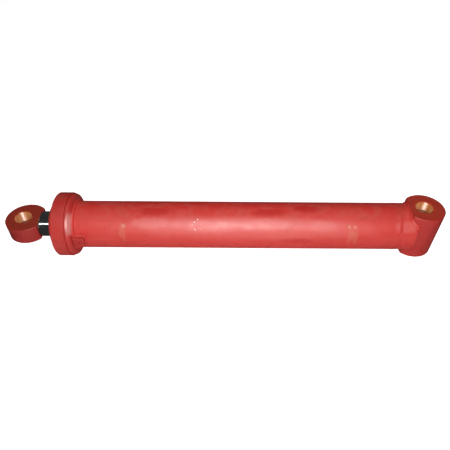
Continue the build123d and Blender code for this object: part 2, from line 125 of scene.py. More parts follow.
# ---- node trees ----------------------------------------------------------------------------------
class Shader:
    """One material's node tree, with short calls for the nodes used here."""

    def __init__(self, name):
        self.material = bpy.data.materials.new(name)
        self.material.use_nodes = True
        self.tree = self.material.node_tree
        self.bsdf = self.tree.nodes["Principled BSDF"]
        self.place = self.add("ShaderNodeTexCoord").outputs["Object"]
        self.bumps = None

    def add(self, kind, inputs=None, **settings):
        node = self.tree.nodes.new(kind)
        for key, value in settings.items():
            setattr(node, key, value)
        for key, value in (inputs or {}).items():
            self.feed(node.inputs[key], value)
        return node

    def feed(self, socket, value):
        if isinstance(value, bpy.types.NodeSocket):
            self.tree.links.new(value, socket)
        else:
            socket.default_value = value

    def set(self, name, value):
        self.feed(self.bsdf.inputs[name], value)

    def split(self, vector):
        node = self.add("ShaderNodeSeparateXYZ", {0: vector})
        return node.outputs[0], node.outputs[1], node.outputs[2]

    def join(self, x, y, z):
        return self.add("ShaderNodeCombineXYZ", {0: x, 1: y, 2: z}).outputs[0]

    def math(self, operation, *values):
        return self.add("ShaderNodeMath", dict(enumerate(values)), operation=operation).outputs[0]

    def shift(self, value, factor, change):
        """The value, moved by the change where the factor is 1."""
        return self.math("ADD", value, self.math("MULTIPLY", factor, change))

    def stretch(self, vector, factors):
        inputs = {0: vector, 1: factors}
        return self.add("ShaderNodeVectorMath", inputs, operation="MULTIPLY").outputs[0]

    def noise(self, scale, detail=3.0, roughness=0.5, distortion=0.0, at=None, offset=0.0):
        where = self.place if at is None else at
        if offset:
            inputs = {0: where, 1: (offset, offset * 0.7, offset * 0.4)}
            where = self.add("ShaderNodeVectorMath", inputs, operation="ADD").outputs[0]
        inputs = {
            "Vector": where,
            "Scale": scale,
            "Detail": detail,
            "Roughness": roughness,
            "Distortion": distortion,
        }
        return self.add("ShaderNodeTexNoise", inputs).outputs[0]

    def cells(self, scale):
        """Distance to the nearest cell point, and that cell's random colour."""
        node = self.add("ShaderNodeTexVoronoi", {"Vector": self.place, "Scale": scale})
        return node.outputs["Distance"], node.outputs["Color"]

    def step(self, value, low, high, to_low=0.0, to_high=1.0):
        inputs = {0: value, 1: low, 2: high, 3: to_low, 4: to_high}
        node = self.add("ShaderNodeMapRange", inputs, interpolation_type="SMOOTHSTEP")
        return node.outputs[0]

    def mix(self, factor, a, b):
        node = self.add("ShaderNodeMix", {0: factor}, data_type="RGBA")
        self.feed(node.inputs[6], a)
        self.feed(node.inputs[7], b)
        return node.outputs[2]

    def bump(self, height, distance, strength=1.0):
        inputs = {"Height": height, "Distance": distance, "Strength": strength}
        if self.bumps is not None:
            inputs["Normal"] = self.bumps
        self.bumps = self.add("ShaderNodeBump", inputs).outputs[0]

    def done(self):
        if self.bumps is not None:
            self.set("Normal", self.bumps)
        return self.material

    def spot(self, x, angle, half_x, half_angle, ragged=0.0, scale=60.0):
        """Soft oval patch on the barrel, at a station and an angle above +Y, in mm and degrees."""
        px, py, pz = self.split(self.place)
        around = self.math("MULTIPLY", self.math("ARCTAN2", pz, py), 180.0 / math.pi)
        dx = self.math("DIVIDE", self.math("SUBTRACT", px, x * MM), half_x * MM)
        da = self.math("DIVIDE", self.math("SUBTRACT", around, angle), half_angle)
        square = self.math("ADD", self.math("MULTIPLY", dx, dx), self.math("MULTIPLY", da, da))
        if ragged:
            edge = self.math("SUBTRACT", self.noise(scale, 5.0, 0.6), 0.5)
            square = self.math("ADD", square, self.math("MULTIPLY", edge, ragged))
        return self.step(square, 1.0, 0.15)

    def spots(self, marks):
        """Several spots as one mask."""
        first, *others = (self.spot(*mark) for mark in marks)
        for other in others:
            first = self.math("MAXIMUM", first, other)
        return first


def rgba(r, g, b):
    return (r, g, b, 1.0)


# ---- paint ---------------------------------------------------------------------------------------
PAINT_RED = rgba(0.52, 0.022, 0.014)
PAINT_DEEP = rgba(0.45, 0.013, 0.009)
PAINT_DUSTY = rgba(0.54, 0.030, 0.022)
# darker colours for the eyes' flat end faces: painted shade
PAINT_FACE_SHADE_DEEP = rgba(0.25, 0.024, 0.011)
PAINT_FACE_SHADE = rgba(0.345, 0.032, 0.015)
DUST = rgba(0.52, 0.26, 0.20)
# pale pinks of painted highlights: on the barrel, and on the tube flange's shoulder
PAINTED_HIGHLIGHT_PINK = rgba(0.60, 0.13, 0.115)
SHOULDER_HIGHLIGHT_PINK = rgba(0.66, 0.30, 0.27)
CHIP = rgba(0.20, 0.05, 0.035)
TAN = rgba(0.50, 0.24, 0.13)
TAN_CORE = rgba(0.55, 0.36, 0.26)
WHITE_SPECK = rgba(0.80, 0.74, 0.70)
BLACK = rgba(0.0, 0.0, 0.0)
PAINT_IOR = 1.55

# Marks on the painted barrel, each as Shader.spot takes it: station, angle above +Y, half lengths,
# raggedness and grain.
DEEP_MARKS = [
    (780, 76, 62, 15, 1.5, 55.0),
    (455, 74, 60, 13, 1.6, 60.0),
    (345, 86, 46, 16, 1.4, 50.0),
    (375, 4, 75, 9, 1.9, 70.0),
    (545, -62, 90, 18, 1.6, 40.0),
    (680, 168, 80, 22, 1.6, 45.0),
    (250, 205, 90, 20, 1.6, 45.0),
]
# Painted highlight: a broad pale band along the side of the barrel that faces the lamp, and paler
# patches where the highlight is brightest.
PAINTED_HIGHLIGHT_BAND = [(520, 33, 460, 34, 0.9, 18.0)]
PAINTED_HIGHLIGHT_PATCHES = [
    (794, 46, 70, 16, 1.9, 60.0),
    (462, 44, 85, 18, 1.9, 60.0),
    (300, 40, 50, 18, 1.9, 60.0),
    (620, 38, 95, 20, 1.8, 40.0),
    (60, 40, 42, 19, 1.6, 70.0),
]
TAN_RUNS = [
    (871, 15, 5, 31, 0.9, 130.0),
    (873, 39, 13, 9, 1.2, 130.0),
    (876, 25, 12, 18, 1.6, 90.0),
    (221, 14, 6, 30, 0.9, 130.0),
    (203, 12, 7, 28, 0.9, 130.0),
    (214, 20, 15, 19, 1.6, 90.0),
]
TAN_CORES = [(871, 39, 6, 5, 0.9, 160.0), (224, 40, 6, 5, 0.9, 160.0), (207, 39, 6, 5, 0.9, 160.0)]
SPECKLED = [(660, 43, 15, 22), (612, 88, 12, 8), (420, 150, 50, 25)]
# Painted highlight on the tube flange's shoulder, where it faces the lamp.
SHOULDER_HIGHLIGHT_MARK = [(FLANGE_X + 1.0, 42, 13, 27, 0.8, 130.0)]


def paint(
    name,
    tone=1.0,
    face_shade_colour=None,
    face_tone=1.0,
    sheen=0.8,
    barrel_marks=False,
    shoulder_highlight=False,
    weld=False,
):
    """Satin primer: mottled, a little dusty, with orange peel, chips and fine scratches."""
    s = Shader(name)
    broad = s.noise(9.0, 4.0, 0.55, 0.6)
    patches = s.noise(26.0, 5.0, 0.62, 0.9, offset=3.1)
    grain = s.noise(420.0, 2.0, 0.5)
    colour = s.mix(s.step(broad, 0.40, 0.66), PAINT_RED, PAINT_DUSTY)
    colour = s.mix(s.step(patches, 0.56, 0.68, 0.0, 0.75), colour, PAINT_DEEP)
    colour = s.mix(s.step(grain, 0.35, 0.75, 0.0, 0.10), colour, PAINT_DUSTY)

    # dust settles on what faces up
    normal_z = s.split(s.add("ShaderNodeTexCoord").outputs["Normal"])[2]
    facing_up = s.step(normal_z, 0.75, 1.0)
    settled = s.math("MULTIPLY", facing_up, s.step(patches, 0.42, 0.60, 0.0, 0.10))
    colour = s.mix(settled, colour, DUST)

    if tone != 1.0:
        colour = s.mix(1.0 - tone, colour, BLACK)

    # painted shade: the eyes' flat end faces, top and bottom, take a darker colour
    if face_shade_colour is not None:
        face = s.step(s.math("ABSOLUTE", normal_z), 0.93, 0.98, 0.0, 1.0 - face_tone)
        colour = s.mix(face, colour, face_shade_colour)

    rough = s.step(s.noise(38.0, 4.0, 0.6, offset=7.7), 0.3, 0.7, 0.45, 0.55)
    if barrel_marks:
        colour, rough = add_barrel_marks(s, colour, rough)
    # painted highlight: a pale pink strip on the tube flange's shoulder, on the side that faces the
    # lamp, and a little less rough there
    if shoulder_highlight:
        highlight_spot = s.spots(SHOULDER_HIGHLIGHT_MARK)
        colour = s.mix(s.math("MULTIPLY", highlight_spot, 0.6), colour, SHOULDER_HIGHLIGHT_PINK)
        rough = s.shift(rough, highlight_spot, -0.08)
    chips, chip_random = s.cells(95.0)
    few = s.step(s.split(chip_random)[0], 0.975, 0.985)
    chip = s.math("MULTIPLY", s.step(chips, 0.16, 0.10), few)
    colour = s.mix(s.math("MULTIPLY", chip, 0.55), colour, CHIP)

    s.set("Base Color", colour)
    s.set("Roughness", rough)
    s.set("IOR", PAINT_IOR)
    s.set("Specular IOR Level", sheen)
    s.bump(s.noise(300.0, 2.0, 0.5, offset=1.3), 0.05 * MM)
    s.bump(s.noise(70.0, 3.0, 0.5, offset=5.9), 0.22 * MM)
    scratches = s.noise(130.0, 3.0, 0.6, at=s.stretch(s.place, (0.12, 1.0, 1.0)), offset=2.2)
    s.bump(s.step(scratches, 0.64, 0.70), 0.03 * MM)
    s.bump(s.math("MULTIPLY", chip, -1.0), 0.10 * MM)
    if weld:
        s.bump(s.noise(900.0, 3.0, 0.6), 0.10 * MM)
    return s.done()


def add_barrel_marks(s, colour, rough):
    """What years in a yard leave on the barrel (deep patches, tan runs, white specks), and painted
    highlights: a pale pink band and patches.
    """
    deep = s.spots(DEEP_MARKS)
    colour = s.mix(s.math("MULTIPLY", deep, 0.85), colour, PAINT_DEEP)
    # painted highlight along the side that faces the lamp
    colour = s.mix(s.math("MULTIPLY", s.spots(PAINTED_HIGHLIGHT_BAND), 0.34), colour, PAINTED_HIGHLIGHT_PINK)
    colour = s.mix(s.math("MULTIPLY", s.spots(PAINTED_HIGHLIGHT_PATCHES), 0.42), colour, PAINTED_HIGHLIGHT_PINK)
    colour = s.mix(s.math("MULTIPLY", s.spots(TAN_RUNS), 0.19), colour, TAN)
    colour = s.mix(s.math("MULTIPLY", s.spots(TAN_CORES), 0.32), colour, TAN_CORE)

    drops, drop_random = s.cells(150.0)
    few = s.step(s.split(drop_random)[1], 0.66, 0.70)
    speck = s.math("MULTIPLY", s.math("MULTIPLY", s.step(drops, 0.30, 0.20), few), s.spots(SPECKLED))
    colour = s.mix(speck, colour, WHITE_SPECK)

    # rings left by the lathe
    along = s.math("MULTIPLY", s.split(s.place)[0], 160.0)
    lathe = s.noise(1.0, 2.0, 0.6, at=s.join(along, 0.0, 0.0))
    colour = s.mix(s.step(lathe, 0.60, 0.72, 0.0, 0.16), colour, PAINT_DUSTY)
    s.bump(lathe, 0.10 * MM)
    rough = s.shift(rough, deep, -0.10)
    return colour, rough


# ---- bare metal, rubber and plastic --------------------------------------------------------------
CHROME = rgba(0.60, 0.61, 0.62)
CHROME_OILED = rgba(0.56, 0.55, 0.52)
BRONZE_DARK = rgba(0.24, 0.062, 0.010)
BRONZE_LIGHT = rgba(0.40, 0.155, 0.042)
BRONZE_STAIN = rgba(0.26, 0.06, 0.012)
BRONZE_METALLIC = 0.2  # low, and the index high, because the streak in the bore is white
BRONZE_IOR = 2.4
BORE_SHADE_DARK = rgba(0.07, 0.028, 0.014)
COVERED_IOR = 1.25
BORE_SHADE_LINE = (46.5, -8.5)  # height below which the upper base bush and the rod bush are painted dark: painted shade low in the bore
END_SHADE = 0.6  # the bushes have a lamp of their own, so their painted ends are made darker


def bronze(name, face_shade_colour, shade_line):
    """Turned bronze: fine rings round the bore, worn streaks along it, and a dark, dull band of
    painted shade low in it.
    """
    s = Shader(name)
    height = s.split(s.place)[2]
    rings = s.noise(1.0, 3.0, 0.7, at=s.join(0.0, 0.0, s.math("MULTIPLY", height, 2600.0)))
    streaks = s.noise(240.0, 3.0, 0.6, at=s.stretch(s.place, (1.0, 1.0, 0.05)))
    stain = s.noise(60.0, 4.0, 0.6, offset=4.0)
    colour = s.mix(s.step(streaks, 0.40, 0.68), BRONZE_DARK, BRONZE_LIGHT)
    colour = s.mix(s.step(stain, 0.52, 0.72, 0.0, 0.5), colour, BRONZE_STAIN)
    # painted shade: a dark, dull band low in the bore, with a ragged top
    ragged = s.shift(height, s.math("SUBTRACT", stain, 0.5), 6.0 * MM)
    bore_shade = s.step(ragged, (shade_line + 1.5) * MM, (shade_line - 1.5) * MM, 0.0, 0.95)
    colour = s.mix(bore_shade, colour, BORE_SHADE_DARK)

    # the eyes' paint runs over the end faces and down to the mouth of the bore
    normal_z = s.split(s.add("ShaderNodeTexCoord").outputs["Normal"])[2]
    coat = s.step(s.math("ABSOLUTE", normal_z), 0.45, 0.55)
    covered = s.math("MAXIMUM", coat, bore_shade)
    turned = s.step(streaks, 0.3, 0.7, 0.34, 0.46)
    s.set("Base Color", s.mix(coat, colour, s.mix(END_SHADE, face_shade_colour, BLACK)))
    s.set("Metallic", s.math("MULTIPLY", s.math("SUBTRACT", 1.0, covered), BRONZE_METALLIC))
    s.set("Specular IOR Level", s.step(covered, 0.0, 0.8, 1.0, 0.2))
    s.set("IOR", s.step(covered, 0.0, 0.8, BRONZE_IOR, COVERED_IOR))
    s.set("Roughness", s.math("MAXIMUM", turned, s.math("MULTIPLY", covered, 0.6)))
    s.set("Anisotropic", 0.85)
    s.set("Anisotropic Rotation", 0.25)
    s.set("Tangent", s.add("ShaderNodeTangent", direction_type="RADIAL", axis="Z").outputs[0])
    s.bump(rings, 0.012 * MM)
    return s.done()


def hard_chrome():
    """Ground and polished hard chrome with hairline scratches and a thin oil film."""
    s = Shader("hard_chrome")
    hairs = s.noise(500.0, 2.0, 0.6, at=s.stretch(s.place, (1.0, 0.03, 0.03)))
    film = s.noise(30.0, 4.0, 0.6, offset=2.0)
    s.set("Base Color", s.mix(s.step(film, 0.45, 0.70), CHROME, CHROME_OILED))
    s.set("Metallic", 1.0)
    s.set("Roughness", s.step(film, 0.35, 0.70, 0.15, 0.20))
    s.set("Anisotropic", 0.5)
    s.set("Anisotropic Rotation", 0.25)
    s.set("Tangent", s.add("ShaderNodeTangent", direction_type="RADIAL", axis="X").outputs[0])
    s.bump(s.step(hairs, 0.62, 0.72), 0.0004 * MM)
    return s.done()


def turned_steel(name, base, roughness):
    """Bare or plated steel with tool marks and darker stains."""
    s = Shader(name)
    marks = s.noise(700.0, 3.0, 0.6)
    stain = s.noise(45.0, 4.0, 0.6, offset=1.0)
    darker = rgba(*(c * 0.62 for c in base))
    s.set("Base Color", s.mix(s.step(stain, 0.45, 0.72), rgba(*base), darker))
    s.set("Metallic", 1.0)
    s.set("Roughness", s.step(marks, 0.3, 0.7, roughness - 0.06, roughness + 0.10))
    s.bump(marks, 0.02 * MM)
    return s.done()


def moulded(name, base, roughness):
    """Rubber, polyurethane or filled plastic."""
    s = Shader(name)
    cloud = s.noise(35.0, 4.0, 0.6)
    lighter = rgba(*(min(1.0, c * 1.5 + 0.01) for c in base))
    s.set("Base Color", s.mix(s.step(cloud, 0.45, 0.75, 0.0, 0.6), rgba(*base), lighter))
    s.set("Roughness", s.step(cloud, 0.3, 0.7, roughness - 0.05, roughness + 0.08))
    s.bump(s.noise(1400.0, 2.0, 0.5), 0.02 * MM)
    return s.done()


def wear(node, material):
    """Gives a CAD node its material."""
    mesh = nodes[node].data
    mesh.materials.clear()
    mesh.materials.append(material)


# ---- weld beads ----------------------------------------------------------------------------------
BEAD_POINTS = 13  # across a bead's face
BEAD_UNDER = 0.7  # how deep a bead's hidden side lies in the metal
BEAD_TUCK = 0.98  # how far along its legs that side reaches
RIPPLE_STEPS = 6  # stations in one ripple
CRATER_DEPTH = 1.6
SEAM_LEG = 6.3
FLANGE_LEG = 6.0
SADDLE_LEG = 4.6
BLOCK_LEG = 3.4


class Corner:
    """One station of a weld: the corner, the two ways its toes go, and the way out."""

    def __init__(self, point, toe_a, toe_b, out=None):
        self.point = Vector(point)
        self.toe_a = Vector(toe_a)
        self.toe_b = Vector(toe_b)
        if out is None:
            out = self.toe_a.normalized() + self.toe_b.normalized()
        self.out = Vector(out).normalized()


def bead_mesh(corners, closed, crown, pitch, ripple, seed, crater=None):
    """Vertices and faces of a rippled bead that follows the corners, in millimetres."""
    picker = random.Random(seed)
    shift = picker.uniform(0.0, 100.0)
    stations = [0.0]
    for a, b in zip(corners, corners[1:]):
        stations.append(stations[-1] + (b.point - a.point).length)
    length = stations[-1]
    if closed:
        length += (corners[0].point - corners[-1].point).length
        pitch = length / round(length / pitch)
    crater_reach = 2.2 * pitch
    verts, faces = [], []
    for corner, along in zip(corners, stations):
        wander = noise.noise(Vector((along * 0.11, shift, 0.0)))
        swell = noise.noise(Vector((along * 0.05, shift + 9.0, 0.0)))
        if closed:
            blend = min(1.0, min(along, length - along) / (2.0 * pitch))
            wander *= blend
            swell *= blend
        end = 1.0
        if not closed:
            end = min(1.0, min(along, length - along) / (1.4 * pitch) + 0.25)
        toe_a = corner.toe_a * (1.0 + 0.14 * wander)
        toe_b = corner.toe_b * (1.0 - 0.10 * wander + 0.08 * swell)
        for i in range(BEAD_POINTS):
            t = 2.0 * i / (BEAD_POINTS - 1) - 1.0
            bulge = 1.0 - t * t
            phase = (along + 0.55 * pitch * bulge) / pitch
            scallop = math.sqrt(max(0.0, 1.0 - (2.0 * (phase % 1.0) - 1.0) ** 2))
            height = crown * (1.0 + 0.25 * swell) * bulge * end
            height += ripple * (scallop - 0.6) * math.sqrt(bulge) * end
            if crater and abs(along - crater) < crater_reach:
                dip = math.cos((along - crater) / crater_reach * math.pi / 2)
                height -= CRATER_DEPTH * bulge * dip
            base = corner.point + toe_a * (1.0 - t) / 2.0 + toe_b * (1.0 + t) / 2.0
            verts.append(base + corner.out * height)
        under = corner.point - corner.out * BEAD_UNDER
        verts.extend((under + toe_b * BEAD_TUCK, under, under + toe_a * BEAD_TUCK))
    row = BEAD_POINTS + 3
    count = len(corners)
    spans = count if closed else count - 1
    for i in range(spans):
        a, b = i * row, ((i + 1) % count) * row
        for j in range(row):
            k = (j + 1) % row
            faces.append((a + j, a + k, b + k, b + j))
    if not closed:
        faces.append(tuple(reversed(range(row))))
        faces.append(tuple(range((count - 1) * row, count * row)))
    return verts, faces


def build(name, verts, faces, material):
    """A smooth mesh object from vertices in millimetres, its normals facing out."""
    mesh = bpy.data.meshes.new(name)
    mesh.from_pydata([tuple(v * MM for v in vert) for vert in verts], [], faces)
    mesh.validate()
    soft = bmesh.new()
    soft.from_mesh(mesh)
    bmesh.ops.recalc_face_normals(soft, faces=soft.faces)
    soft.to_mesh(mesh)
    soft.free()
    mesh.polygons.foreach_set("use_smooth", [True] * len(mesh.polygons))
    mesh.materials.append(material)
    thing = bpy.data.objects.new(name, mesh)
    bpy.context.scene.collection.objects.link(thing)
    return thing


def merged(parts):
    """Joins several (vertices, faces) pairs into one."""
    verts, faces = [], []
    for part_verts, part_faces in parts:
        start = len(verts)
        verts.extend(part_verts)
        faces.extend(tuple(start + i for i in face) for face in part_faces)
    return verts, faces


def ways_out(pitch):
    """The directions out of the barrel, all the way round it, for a bead of this pitch."""
    count = int(round(2.0 * math.pi * TUBE_R / pitch)) * RIPPLE_STEPS
    angles = (2.0 * math.pi * i / count for i in range(count))
    return [Vector((0.0, math.cos(a), math.sin(a))) for a in angles]


def seam_corners(pitch):
    """Round the barrel at the cap seam."""
    centre = Vector((CAP_SEAM_X, 0.0, 0.0))
    toe = Vector((SEAM_LEG, 0.0, 0.0))
    return [Corner(centre + out * (TUBE_R - 0.1), -toe, toe, out) for out in ways_out(pitch)]


def flange_corners(pitch):
    """Round the barrel behind the tube flange."""
    centre = Vector((FLANGE_X, 0.0, 0.0))
    toe = Vector((-FLANGE_LEG, 0.0, 0.0))
    return [Corner(centre + out * TUBE_R, toe, out * FLANGE_LEG) for out in ways_out(pitch)]


def saddle_corners(pitch):
    """Round the base eye where the cap meets it: over its flat, down one cheek and back."""
    cheek_y = math.sqrt(EYE_R**2 - CAP_END_X**2)
    cheek_z = math.sqrt(TUBE_R**2 - cheek_y**2)
    flat_y = math.sqrt(EYE_R**2 - EYE_FLAT_X**2)
    step = pitch / RIPPLE_STEPS
    half = []
    count = int(2.0 * cheek_y / step * 1.15)
    for i in range(count + 1):
        y = cheek_y * (1.0 - 2.0 * i / count)
        x = min(EYE_FLAT_X, math.sqrt(EYE_R**2 - y * y))
        point = Vector((x, y, math.sqrt(TUBE_R**2 - y * y)))
        eye_out = Vector((1, 0, 0)) if abs(y) < flat_y else Vector((x, y, 0.0)).normalized()
        cap_out = Vector((0.0, y, point.z)).normalized()
        toe_cap = (eye_out - cap_out * eye_out.dot(cap_out)).normalized()
        toe_eye = (cap_out - eye_out * cap_out.dot(eye_out)).normalized()
        room = EYE_HALF - EYE_CHAMFER - 0.3 - point.z
        rise = min(SADDLE_LEG, room / max(0.2, toe_eye.z))
        half.append(Corner(point, toe_eye * rise, toe_cap * SADDLE_LEG))
    down = int(2.0 * (cheek_z - 4.0) / step)
    along_eye = -Vector((cheek_y, CAP_END_X, 0.0)).normalized()
    for i in range(1, down):
        z = (cheek_z - 4.0) * (1.0 - 2.0 * i / down)
        toe_cheek = (0.0, -0.8 * SADDLE_LEG, 0.0)
        half.append(Corner((CAP_END_X, -cheek_y, z), along_eye * SADDLE_LEG, toe_cheek))
    turn = Matrix.Rotation(math.pi, 3, "X")
    rest = [Corner(turn @ c.point, turn @ c.toe_a, turn @ c.toe_b) for c in half]
    return smooth_corners(half + rest, 8)


def smooth_corners(corners, reach):
    """Averages each station's toes with its neighbours', so that the bead turns gently."""
    count = len(corners)
    result = []
    for i in range(count):
        near = [corners[(i + k) % count] for k in range(-reach, reach + 1)]
        toe_a = sum((c.toe_a for c in near), Vector()) / len(near)
        toe_b = sum((c.toe_b for c in near), Vector()) / len(near)
        point = sum((c.point for c in near), Vector()) / len(near)
        result.append(Corner(corners[i].point.lerp(point, 0.8), toe_a, toe_b))
    return result


def block_corners(x, side, pitch, limit=None):
    """Round the foot of a port block. With a limit, only the part behind that station."""
    turn_r = 2.0
    step = pitch / RIPPLE_STEPS
    bend = math.pi / 2.0 * turn_r
    outline = []
    for quarter in range(4):
        along = Vector((math.cos(quarter * math.pi / 2), 0.0, math.sin(quarter * math.pi / 2)))
        out = Vector((along.z, 0.0, -along.x))
        half_along, half_out = PORT_BLOCK_HALF if quarter % 2 == 0 else PORT_BLOCK_HALF[::-1]
        straight = half_along - turn_r
        for i in range(int(2 * straight / step)):
            outline.append((out * half_out + along * (i * step - straight), out))
        for i in range(int(bend / step) + 1):
            a = i * step / turn_r
            lean = out * math.cos(a) + along * math.sin(a)
            outline.append((out * (half_out - turn_r) + along * straight + lean * turn_r, lean))
    corners = []
    for place, out in outline:
        px, pz = x + place.x, place.z
        if limit is not None and px > limit:
            continue
        py = side * math.sqrt(TUBE_R**2 - pz * pz)
        tube_out = Vector((0.0, py, pz)).normalized()
        toe_tube = (out - tube_out * out.dot(tube_out)).normalized()
        corners.append(Corner((px, py, pz), (0.0, side * BLOCK_LEG, 0.0), toe_tube * BLOCK_LEG))
    return smooth_corners(corners, 4) if limit is None else corners


def rod_eye_corners(pitch):
    """Along the rod eye's flat: over its top and bottom faces."""
    lines = []
    count = int(2 * ROD_EYE_FLAT_HALF / (pitch / RIPPLE_STEPS))
    for side in (-1, 1):
        line = []
        for i in range(count + 1):
            y = ROD_EYE_FLAT_HALF * (1.0 - 2.0 * i / count)
            point = Vector((ROD_END_X, y, side * ROD_EYE_HALF))
            line.append(Corner(point, (3.2, 0, 0), (0, 0, side * 2.9)))
        lines.append(line)
    return lines


def rod_bevel_corners(pitch):
    """Down the rod's bevel, on both sides of the rod."""
    lines = []
    reach = math.radians(49.0)
    count = int(2.0 * reach * (ROD_BEVEL_R + 2.0) / (pitch / RIPPLE_STEPS))
    for side in (-1, 1):
        line = []
        for i in range(count + 1):
            a = reach * (2.0 * i / count - 1.0)
            out = Vector((0.0, side * math.cos(a), math.sin(a)))
            point = Vector((ROD_END_X, 0, 0)) + out * ROD_BEVEL_R
            line.append(Corner(point, Vector((-2.4, 0, 0)) + out * 2.1, out * 2.9))
        lines.append(line)
    return lines


def add_ring_beads(material):
    """The welds that close on themselves, each in place of its plain CAD fillet."""
    base_block = block_corners(BASE_PORT_X, -1, 2.6)
    jobs = [
        ("bead_cap_seam", "weld_cap_seam", seam_corners(3.4), 0.4, 3.4, 0.25, 3, 24.0),
        ("bead_tube_flange", "weld_tube_flange", flange_corners(3.2), 0.9, 3.2, 0.6, 5, None),
        ("bead_base_eye", "weld_base_eye", saddle_corners(3.2), 0.6, 3.2, 0.3, 8, None),
        ("bead_base_port", "weld_base_port", base_block, 0.6, 2.6, 0.4, 13, None),
    ]
    for name, node, corners, crown, pitch, ripple, seed, crater in jobs:
        verts, faces = bead_mesh(corners, True, crown, pitch, ripple, seed, crater)
        piece = build(name, verts, faces, material)
        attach(piece, "barrel")
        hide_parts(node)


def add_head_port_bead(material):
    """Round the head port block, as far as the tube flange."""
    corners = block_corners(HEAD_PORT_X, 1, 2.6, limit=FLANGE_X - 1.0)
    gaps = [(corners[i].point - corners[i - 1].point).length for i in range(len(corners))]
    start = gaps.index(max(gaps))
    verts, faces = bead_mesh(corners[start:] + corners[:start], False, 0.6, 2.6, 0.4, 21)
    piece = build("bead_head_port", verts, faces, material)
    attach(piece, "barrel")
    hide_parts("weld_head_port")


def add_rod_beads(material, bare_weld):
    """The painted welds over and under the rod's end, and the bare ones down its bevel."""
    lines = enumerate(rod_eye_corners(2.4))
    parts = [bead_mesh(line, False, 0.5, 2.4, 0.3, 30 + i) for i, line in lines]
    piece = build("bead_rod_eye", *merged(parts), material)
    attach(piece, "rod")
    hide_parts("weld_rod_eye")
    lines = enumerate(rod_bevel_corners(2.4))
    parts = [bead_mesh(line, False, 0.3, 2.4, 0.15, 32 + i) for i, line in lines]
    piece = build("bead_rod_bevel", *merged(parts), bare_weld)
    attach(piece, "rod")


# ---- weld spatter --------------------------------------------------------------------------------
DROP_RINGS = 4
DROP_SIDES = 9


def drop(centre, out, radius, height):
    """Low rounded drop on a surface."""
    side = out.orthogonal().normalized()
    other = out.cross(side)
    verts, faces = [], []
    for i in range(DROP_RINGS):
        a = math.pi / 2.0 * i / DROP_RINGS
        for j in range(DROP_SIDES):
            b = 2.0 * math.pi * j / DROP_SIDES
            spread = side * math.cos(b) + other * math.sin(b)
            rise = out * (height * math.sin(a) - 0.15)
            verts.append(centre + spread * radius * math.cos(a) + rise)
    verts.append(centre + out * height)
    for i in range(DROP_RINGS - 1):
        low, high = i * DROP_SIDES, (i + 1) * DROP_SIDES
        for j in range(DROP_SIDES):
            k = (j + 1) % DROP_SIDES
            faces.append((low + j, low + k, high + k, high + j))
    top = (DROP_RINGS - 1) * DROP_SIDES
    for j in range(DROP_SIDES):
        faces.append((top + j, top + (j + 1) % DROP_SIDES, DROP_RINGS * DROP_SIDES))
    faces.append(tuple(reversed(range(DROP_SIDES))))
    return verts, faces


def add_spatter(material):
    """Small weld droplets on the barrel, beside the seam and behind the flange."""
    picker = random.Random(41)
    drops = []
    for centre_x, spread, count in ((CAP_SEAM_X, 10.2, 34), (FLANGE_X - 12.0, 6.6, 40)):
        for _ in range(count):
            x = min(centre_x + picker.gauss(0.0, spread), FLANGE_X - 8.0)
            a = picker.uniform(0.0, 2.0 * math.pi)
            out = Vector((0.0, math.cos(a), math.sin(a)))
            radius = picker.uniform(0.5, 1.3)
            over_seam_or_eye = abs(x - CAP_SEAM_X) < 8.0 or x < 62.0
            under_head_port = x > HEAD_PORT_X - 36.0 and out.y > 0.0 and abs(out.z) < 0.42
            if over_seam_or_eye or under_head_port:
                continue
            centre = Vector((x, 0.0, 0.0)) + out * (TUBE_R - 0.08)
            drops.append(drop(centre, out, radius, radius * picker.uniform(0.55, 0.9)))
    piece = build("weld_spatter", *merged(drops), material)
    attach(piece, "barrel")


# ---- stage ---------------------------------------------------------------------------------------
def add_floor():
    """Pale floor that the head flange and the base eye both rest on."""
    low_base = Vector((EYE_CHAMFER - EYE_R, 0.0, -EYE_HALF)) * MM
    low_head = Vector((HEAD_SEAM_X + 3.5, 0.0, -HEAD_R)) * MM
    slope = (low_head - low_base).normalized() * FLOOR_REACH
    across = Vector((0.0, FLOOR_REACH, 0.0))
    centre = low_base.lerp(low_head, 0.5)
    signs = ((-1, -1), (1, -1), (1, 1), (-1, 1))
    corners = [centre + slope * a + across * b for a, b in signs]
    mesh = bpy.data.meshes.new("floor")
    mesh.from_pydata([tuple(c) for c in corners], [], [(0, 1, 2, 3)])
    floor = bpy.data.objects.new("floor", mesh)
    bpy.context.scene.collection.objects.link(floor)
    s = Shader("floor")
    cloud = s.step(s.noise(3.0, 3.0, 0.5), 0.4, 0.6)
    s.set("Base Color", s.mix(cloud, rgba(0.90, 0.90, 0.90), rgba(0.92, 0.92, 0.92)))
    s.set("Roughness", 0.9)
    s.set("Specular IOR Level", 0.0)
    path = s.add("ShaderNodeLightPath")
    s.set("Emission Color", rgba(1.0, 1.0, 1.0))
    seen = s.math("MULTIPLY", path.outputs["Is Camera Ray"], FLOOR_GLOW)
    bounced = s.math("MULTIPLY", path.outputs["Is Diffuse Ray"], FLOOR_BOUNCE)
    s.set("Emission Strength", s.math("ADD", seen, bounced))
    dim_inputs = {"Color": rgba(1.0, 0.97, 0.94), "Strength": FLOOR_IN_GLOSS}
    dim = s.add("ShaderNodeEmission", dim_inputs)
    blend = s.add("ShaderNodeMixShader", {0: path.outputs["Is Glossy Ray"]})
    s.tree.links.new(s.bsdf.outputs[0], blend.inputs[1])
    s.tree.links.new(dim.outputs[0], blend.inputs[2])
    s.tree.links.new(blend.outputs[0], s.tree.nodes["Material Output"].inputs["Surface"])
    mesh.materials.append(s.done())


